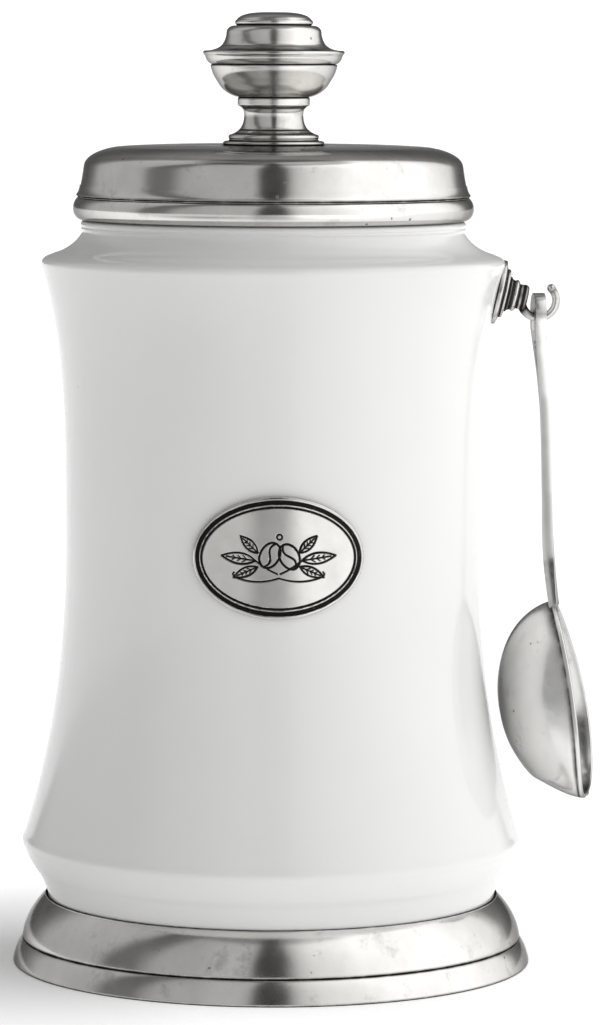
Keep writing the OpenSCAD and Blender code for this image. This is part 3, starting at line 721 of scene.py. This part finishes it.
def make_lid():
    top_r, inner_r = 46.5, 2.6
    dome = ([(DOME_R - 0.3, LID_SEAM_Z)] + arc(DOME_R - 0.25, LID_SEAM_Z + 0.25, 0.25, 0.25, -70, 20, 6)
            + bend((DOME_R - 0.15, LID_SEAM_Z + 0.6), (57.1, LID_SEAM_Z + 1.4), (56.9, LID_SEAM_Z + 3), 6)
            + bend((56.7, 229.3), (56.2, 231.5), (55.85, 234.2), 10)
            + bend((55.6, 235.6), (54.7, 238.6), (top_r + 2, LID_TOP_Z - 1.0), 18)
            + bend((top_r, LID_TOP_Z - 0.6), (38, LID_TOP_Z + 0.25), (FLANGE_R - 2, LID_TOP_Z), 12)
            + [(inner_r, LID_TOP_Z), (inner_r, LID_TOP_Z - SHEET), (FLANGE_R - 2, LID_TOP_Z - SHEET)]
            + bend((top_r, LID_TOP_Z - 0.6 - SHEET), (53, 238.2 - SHEET), (55.4 - SHEET, 234.6), 12)
            + [(56.8 - SHEET, 229.5), (DOME_R - SHEET, LID_SEAM_Z)])
    # The creases darken the seam and the foot of the knob with dirt and painted shade.
    creases = [(DOME_R - 0.25, LID_SEAM_Z + 0.05, 0.34), (FLANGE_R + 0.1, LID_TOP_Z, 0.5)]
    show(lathe("lid_dome_shell", dome, creases, 0.8, 224, 0.14, 31, closed=True), "lid", "pewter_lid",
         LID_PEWTER, "lid_dome")
    under_z, mid_z = RIM_Z + 0.05, 222.7
    bead = ([(COLLAR_R + 0.05, under_z), (BEAD_R - 3, under_z)]
            + arc(BEAD_R - 2.7, mid_z, 2.7, mid_z - under_z, -75, 0, 14)
            + arc(BEAD_R - 2.7, mid_z, 2.7, LID_SEAM_Z - mid_z, 5, 62, 10)
            + [(BEAD_R - 1.4, LID_SEAM_Z), (BEAD_R - 4.6, LID_SEAM_Z), (BEAD_R - 4.6, mid_z),
               (COLLAR_R + 0.05, mid_z)])
    # The crease under the bead paints the shadow where the bead overhangs the jar's rim; the other darkens
    # the seam with dirt and painted shade.
    creases = [(BEAD_R - 1.5, LID_SEAM_Z, 0.42), (BEAD_R - 2.6, under_z, 0.4)]
    show(lathe("lid_bead_ring", bead, creases, 0.5, 224, 0.14, 32, closed=True), "lid", "pewter_lid",
         LID_PEWTER, "lid_bead")
    collar = ([(COLLAR_R - SHEET, COLLAR_Z + 0.3), (COLLAR_R - SHEET + 0.3, COLLAR_Z)]
              + arc(COLLAR_R - 0.4, COLLAR_Z + 0.4, 0.4, 0.4, -90, 0, 6)
              + [(COLLAR_R, 223.4), (COLLAR_R - SHEET, 223.4)])
    # The crease darkens the inner top corner of the sleeve with dirt and painted shade.
    show(lathe("lid_collar_sleeve", collar, [(COLLAR_R - SHEET, 223.2, 1)], 1.0, 192, 0.06, 33, closed=True),
         "lid", "pewter_lid", LID_PEWTER, "lid_collar")
    z, rib_r, root_r = COLLAR_Z + 1.5, 50.2, COLLAR_R + 0.75
    seal = [(COLLAR_R + 0.05, z), (root_r, z)]
    for rise in (0.0, 2.2):
        foot = z + rise
        seal += bend((root_r, foot + 0.2), (rib_r - 0.3, foot + 0.6), (rib_r - 0.05, foot + 1.05), 5)
        seal += bend((rib_r, foot + 1.2), (rib_r - 0.5, foot + 1.5), (root_r, foot + 1.65), 5)
    seal += [(root_r, z + 4), (COLLAR_R + 0.05, z + 4)]
    show(lathe("lid_seal_ring", seal, (), 0.4, 192, 0, 34, closed=True), "lid", "silicone",
         SILICONE, "lid_seal")


def make_knob():
    bore = 2.55
    neck_r = 8.7

    # In each part the creases darken the joints and hollows with dirt and painted shade.
    def turned(name, node, outline, creases, seed, closed=True):
        show(lathe(name, outline, creases, 0.35, 144, 0.1, seed, closed=closed), "lid", "pewter_knob",
             KNOB_PEWTER, node)

    z = LID_TOP_Z
    flange = ([(bore, z), (FLANGE_R - 0.3, z)] + arc(FLANGE_R - 0.6, z + 0.6, 0.6, 0.6, -60, 70, 8)
              + bend((FLANGE_R - 0.7, z + 1.25), (FLANGE_R - 1.6, z + 1.2), (FLANGE_R - 1.8, z + 1.6), 4)
              + arc(FLANGE_R - 2.2, z + 2.4, 0.6, 0.75, -50, 70, 8)
              + bend((FLANGE_R - 2.4, z + 3.2), (11.2, z + 3.6), (neck_r + 1.6, z + 4.5), 10)
              + [(bore, z + 4.5)])
    creases = [(FLANGE_R - 0.2, z, 0.5), (FLANGE_R - 1.7, z + 1.4, 0.3), (FLANGE_R - 3.2, z + 3.4, 0.3),
               (neck_r + 1.6, z + 4.5, 0.25)]
    turned("knob_foot_flange", "knob_flange", flange, creases, 41)

    z = LID_TOP_Z + 4.5
    ring_z = CUP_Z - 1.2
    neck = ([(bore, z)] + bend((neck_r + 1.5, z), (neck_r, z + 1.6), (neck_r, z + 4.2), 14)
            + bend((neck_r, ring_z - 3.6), (neck_r + 0.1, ring_z - 2), (neck_r + 1.2, ring_z - 1.5), 8)
            + arc(neck_r + 1.5, ring_z - 0.8, 0.4, 0.5, -80, 0, 6)
            + arc(neck_r + 1.5, ring_z + 0.6, 0.4, 0.6, 0, 80, 6) + [(bore, CUP_Z)])
    creases = [(neck_r + 1.5, z, 0.3), (neck_r + 0.5, ring_z - 1.7, 0.35), (neck_r + 1.7, CUP_Z, 0.3)]
    turned("knob_neck_turned", "knob_neck", neck, creases, 42)

    top_z = 264.8
    cup = ([(bore, CUP_Z), (neck_r + 1.4, CUP_Z)]
           + bend((11.2, CUP_Z + 0.2), (14.8, CUP_Z + 1.3), (CUP_R - 2.1, CUP_Z + 4.4), 16)
           + bend((CUP_R - 1.6, CUP_Z + 5.2), (CUP_R - 0.4, CUP_Z + 7), (CUP_R, top_z - 0.6), 12)
           + arc(CUP_R - 0.4, top_z - 0.4, 0.4, 0.4, 10, 90, 5) + [(bore, top_z)])
    creases = [(neck_r + 1.6, CUP_Z, 0.35), (CUP_R - 0.3, top_z, 0.35)]
    turned("knob_cup_turned", "knob_cup", cup, creases, 43)

    cap = ([(bore, top_z), (17.9, top_z)]
           + bend((18.8, 265.0), (CAP_R - 0.9, 265.8), (CAP_R - 0.6, 267.2), 10)
           + arc(CAP_R - 0.6, 268.2, 0.6, 0.6, -50, 85, 12)
           + bend((CAP_R - 1.6, 268.85), (16.2, 269.2), (15.0, 270.8), 14)
           + bend((14.6, 271.5), (14.2, 272.4), (14.0, 273.4), 8)
           + bend((13.9, 274.6), (13.2, BUTTON_Z), (11.4, BUTTON_Z), 16) + [(bore, BUTTON_Z)])
    creases = [(18.2, top_z, 0.35), (15.4, 270.0, 0.3), (11.3, BUTTON_Z, 0.35)]
    turned("knob_cap_turned", "knob_cap", cap, creases, 44)

    button = ([(0, BUTTON_Z), (10.9, BUTTON_Z)] + arc(10.6, BUTTON_Z + 0.9, 0.85, 0.85, -60, 60, 12)
              + bend((10.8, BUTTON_Z + 1.9), (9.4, TOTAL_H - 0.2), (3.5, TOTAL_H - 0.01), 20)
              + [(0, TOTAL_H)])
    creases = [(11.0, BUTTON_Z + 0.1, 0.35)]
    turned("knob_button_turned", "knob_button", button, creases, 45, closed=False)


make_lid()
make_knob()


# ---------------------------------------------------------------- spoon

BOWL_L, BOWL_W, BOWL_D, BOWL_T = 59.0, 44.0, 21.7, 1.4
MOUTH_BOW = 2.5
BOWL_TOP = (83.6, 107.5)
SPOON_TILT, SPOON_TURN = 9.97, -7.0
HANDLE_T = 3.2
FOOT_Z, STRAIGHT_Z = 105.2, 188
EYE_TOP_Z, EYE_R = 198.3, 5.2


def bowl_depth(u):
    return sqrt(max(0, 1 - u * u)) ** 1.1 * (1.7 - u if u > 0.7 else 1)


def bowl_width(u):
    return sqrt(max(0, 1 - u * u)) ** (0.9 - 0.2 * u) * (1 + 0.2 * u) / 1.03


def bowl_point(th, a, inset):
    """A point of the bowl's skin: th runs from handle to tip, a from rim to rim."""
    u = -cos(th)
    s = BOWL_L / 2 + u * (BOWL_L / 2 - inset)
    bow = MOUTH_BOW * (1 - (2 * s / BOWL_L - 1) ** 2)
    deep = (BOWL_D + MOUTH_BOW - inset) * bowl_depth(u)
    side = (BOWL_W / 2 - inset) * bowl_width(u) * cos(a)
    return Vector((bow - deep * sin(a) + 0.04 * u * side, side, -s))


def make_bowl():
    """Outer and inner skin joined round the rim, with a narrow raised edge outside along it."""
    rings, rim_rows = 96, 4
    edge_w, edge_rise = 1.5, 0.32
    edge_steps = (0.0, 0.14, 0.35, 0.6, 0.8, 0.92, 1.0)
    sides = 2 * (len(edge_steps) - 1) + 52
    rim_round = BOWL_T * 0.30
    joint_at = Vector((-1.5, 0, -1.0))
    verts, dirt_and_shade, faces = [], [], []

    def add(p, dirt_ink_and_shade=0.0):
        verts.append(p)
        dirt_and_shade.append(dirt_ink_and_shade)
        return len(verts) - 1

    def rim_angles(edge):
        """Angles from rim to rim, close together over the raised edge."""
        start = [asin(edge * s) for s in edge_steps]
        middle = list(np.linspace(start[-1], pi - start[-1], sides - 2 * len(start) + 3))[1:-1]
        return start + middle + [pi - a for a in reversed(start)]

    def skin(inset):
        """Rows of points across the bowl, from the handle to the tip. inset 0 is the outside."""
        rows = []
        for i in range(rings + 1):
            th = pi * i / rings
            if i in (0, rings):
                # The pole at the handle end is darkened as painted shade at the joint.
                rows.append([add(bowl_point(th, 0, inset), 0.7 if i == 0 else 0.0)] * (sides + 1))
                continue
            row = []
            deep = (BOWL_D + MOUTH_BOW - inset) * bowl_depth(-cos(th))
            width = min(edge_w, 0.35 * deep)
            for a in rim_angles(width / deep):
                p = bowl_point(th, a, inset)
                below = deep * sin(a)
                # Painted shade on the outer skin: a dark patch round the joint with the handle, a wedge below
                # the raised edge near the handle end, and a thin dark line in the crease below that edge. The
                # inner skin gets only the joint's shade.
                joint = 0.8 * exp(-((p - joint_at).length / 3.4) ** 2)
                wedge = 0.8 * exp(-((below - width) / 2.2) ** 2) * exp(-((i - 12) / 26) ** 2)
                line = 0.8 * exp(-((below - width) / 0.4) ** 2)
                if not inset:
                    swell = edge_rise * (width / edge_w) * min(1, max(0, 1 - below / width) * 5)
                    p.y += swell if cos(a) > 0 else -swell
                p.x -= rim_round * max(0, 1 - below / 0.3)
                painted_shade = max(joint, wedge if below > 0.9 * width else 0.0, line)
                row.append(add(p, painted_shade if not inset else joint))
            rows.append(row)
        return rows

    def strip(row, other):
        """Faces between two rows, without the corners that a pole folds away."""
        for a, b, c, d in zip(row, row[1:], other[1:], other):
            corners = list(dict.fromkeys((a, b, c, d)))
            if len(corners) > 2:
                faces.append(tuple(corners))

    outer, inner = skin(0), skin(BOWL_T)
    for low, high in zip(outer, outer[1:]):
        strip(low, high)
    for low, high in zip(inner, inner[1:]):
        strip(high, low)
    around = [(i, 0) for i in range(rings + 1)] + [(i, sides) for i in range(rings - 1, 0, -1)]
    rows = [[outer[i][j] for i, j in around]]
    for k in range(1, rim_rows):
        part = k / rim_rows
        row = []
        for i, j in around:
            p, q = verts[outer[i][j]], verts[inner[i][j]]
            row.append(add(p.lerp(q, part) + Vector((sin(pi * part) * rim_round, 0, 0))))
        rows.append(row)
    rows.append([inner[i][j] for i, j in around])
    for low, high in zip(rows, rows[1:]):
        strip(high + high[:1], low + low[:1])
    place = (Matrix.Translation((BOWL_TOP[0], 0, BOWL_TOP[1])) @ Matrix.Rotation(radians(SPOON_TURN), 4, "Z")
             @ Matrix.Rotation(radians(-SPOON_TILT), 4, "Y"))
    moved = []
    for p in verts:
        dent = 0.12 * sin(p.z * 0.33 + 1.1) * sin(p.y * 0.29 + 0.4)
        moved.append(place @ (p + Vector((dent * min(1.0, max(0.0, -p.x / 8)), 0, 0))) * MM)
    bowl = new_piece("spoon_bowl_scoop", moved, faces, dirt_and_shade, 45)
    show(bowl, "spoon", "pewter_spoon", SPOON_PEWTER, "spoon_bowl")


def handle_x(z):
    """Middle of the handle's thickness at a height."""
    if z >= STRAIGHT_Z:
        return BEND_X
    line = bend((BEND_X, STRAIGHT_Z), (78.9, 180), (79.7, 172), 8)
    line += bend((80.3, 165), (80.8, 154), (80.9, 142), 8)
    line += bend((81.1, 132), (81.2, 120), (83.4, FOOT_Z), 12)
    heights = [p[1] for p in line][::-1]
    return float(np.interp(z, heights, [p[0] for p in line][::-1]))


def handle_half(z):
    """Half the handle's width at a height."""
    if z > EYE_TOP_Z - EYE_R:
        return sqrt(max(EYE_R ** 2 - (z - (EYE_TOP_Z - EYE_R)) ** 2, 0.6))
    return float(np.interp(z, [FOOT_Z, 108, 112, 120, 140, 168, 176, 183, EYE_TOP_Z - EYE_R],
                           [4.9, 4.5, 3.9, 3.15, 2.85, 3.35, 4.2, 4.95, EYE_R]))


def make_handle():
    """A flat strip, a little twisted, with the eye near its top, that thins towards the bowl."""
    start_z = FOOT_Z + 0.4
    eye_low, eye_high = 181.9, 192.35
    side_cols, eye_cols = 4, 2
    heights = list(np.linspace(start_z, eye_low - 1.0, 60)) + list(np.linspace(eye_low, eye_high, 14))
    heights += list(np.linspace(eye_high + 1.2, EYE_TOP_Z - 0.15, 7))

    def eye_half(z):
        """Half the width of the eye, or of the narrow strip of mesh that carries on from it."""
        if not eye_low <= z <= eye_high:
            return 0.9
        low_part = sqrt(max(0, 1 - ((eye_low + 2.6 - z) / 2.6) ** 2)) if z < eye_low + 2.6 else 1.0
        high_part = sqrt(max(0, 1 - ((z - eye_high + 1.6) / 1.6) ** 2)) if z > eye_high - 1.6 else 1.0
        widest = float(np.interp(z, [eye_low, eye_low + 3, 190.9, eye_high], [2.75, 2.75, 1.7, 1.6]))
        return max(0.7, widest * min(low_part, high_part))

    verts, dirt_and_shade, faces, rows = [], [], [], []
    for z in heights:
        half, gap = handle_half(z), eye_half(z)
        gap = min(gap, half * 0.45)
        near = list(np.linspace(-half, -gap, side_cols + 1))
        far = list(np.linspace(gap, half, side_cols + 1))
        ys = near + [0.0] + far
        twist = float(np.interp(z, [108, 175, 190], [radians(SPOON_TURN), radians(2), radians(7)]))
        # A darker streak down the middle just below the eye. Painted shade in a band at the eye's top where
        # the hook's arm rests, and at the foot where the handle meets the bowl.
        slot_streak = exp(-((z - 178.5) / 3.2) ** 2)
        row = []
        for y in ys:
            row.append(len(verts))
            verts.append(Vector((handle_x(z) - y * sin(twist), y * cos(twist), z)) * MM)
            foot = 0.5 * exp(-((z - start_z) / 1.2) ** 2)
            dirt_and_shade.append(max(foot, slot_streak * exp(-(y / 0.8) ** 2), 0.6 * exp(-((z - eye_high) / 1.2) ** 2)))
        rows.append(row)
    for low, high, z, z_high in zip(rows, rows[1:], heights, heights[1:]):
        open_row = z >= eye_low and z_high <= eye_high + 0.01
        for j in range(len(low) - 1):
            if open_row and side_cols <= j < side_cols + eye_cols:
                continue
            faces.append((low[j], low[j + 1], high[j + 1], high[j]))
    used = sorted({v for face in faces for v in face})
    new_index = {v: k for k, v in enumerate(used)}
    faces = [tuple(new_index[v] for v in face) for face in faces]
    handle = new_piece("spoon_handle_strip", [verts[v] for v in used], faces, [dirt_and_shade[v] for v in used], 180)
    thin = handle.vertex_groups.new(name="thin_foot")
    for v in handle.data.vertices:
        thin.add([v.index], float(np.interp(v.co.z / MM, [106, 118], [0.75, 1.0])), "REPLACE")
    thick = handle.modifiers.new("thickness", "SOLIDIFY")
    thick.vertex_group = thin.name
    thick.thickness = HANDLE_T * MM
    thick.offset = 0
    soft = handle.modifiers.new("soft_edges", "BEVEL")
    soft.width = 0.62 * MM
    soft.segments = 3
    soft.limit_method = "ANGLE"
    soft.angle_limit = radians(50)
    show(handle, "spoon", "pewter_spoon", SPOON_PEWTER, "spoon_handle")


make_bowl()
make_handle()


# ---------------------------------------------------------------- small hidden pieces keep their CAD shape

for node, look in (("base_cement", CEMENT), ("plaque_bond", ADHESIVE), ("hook_stud", STEEL),
                   ("hook_washer", STEEL), ("hook_nut", STEEL), ("knob_stud", STEEL),
                   ("knob_washer", STEEL), ("knob_nut", STEEL)):
    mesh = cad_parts[node].data
    mesh.materials.clear()
    mesh.materials.append(look)
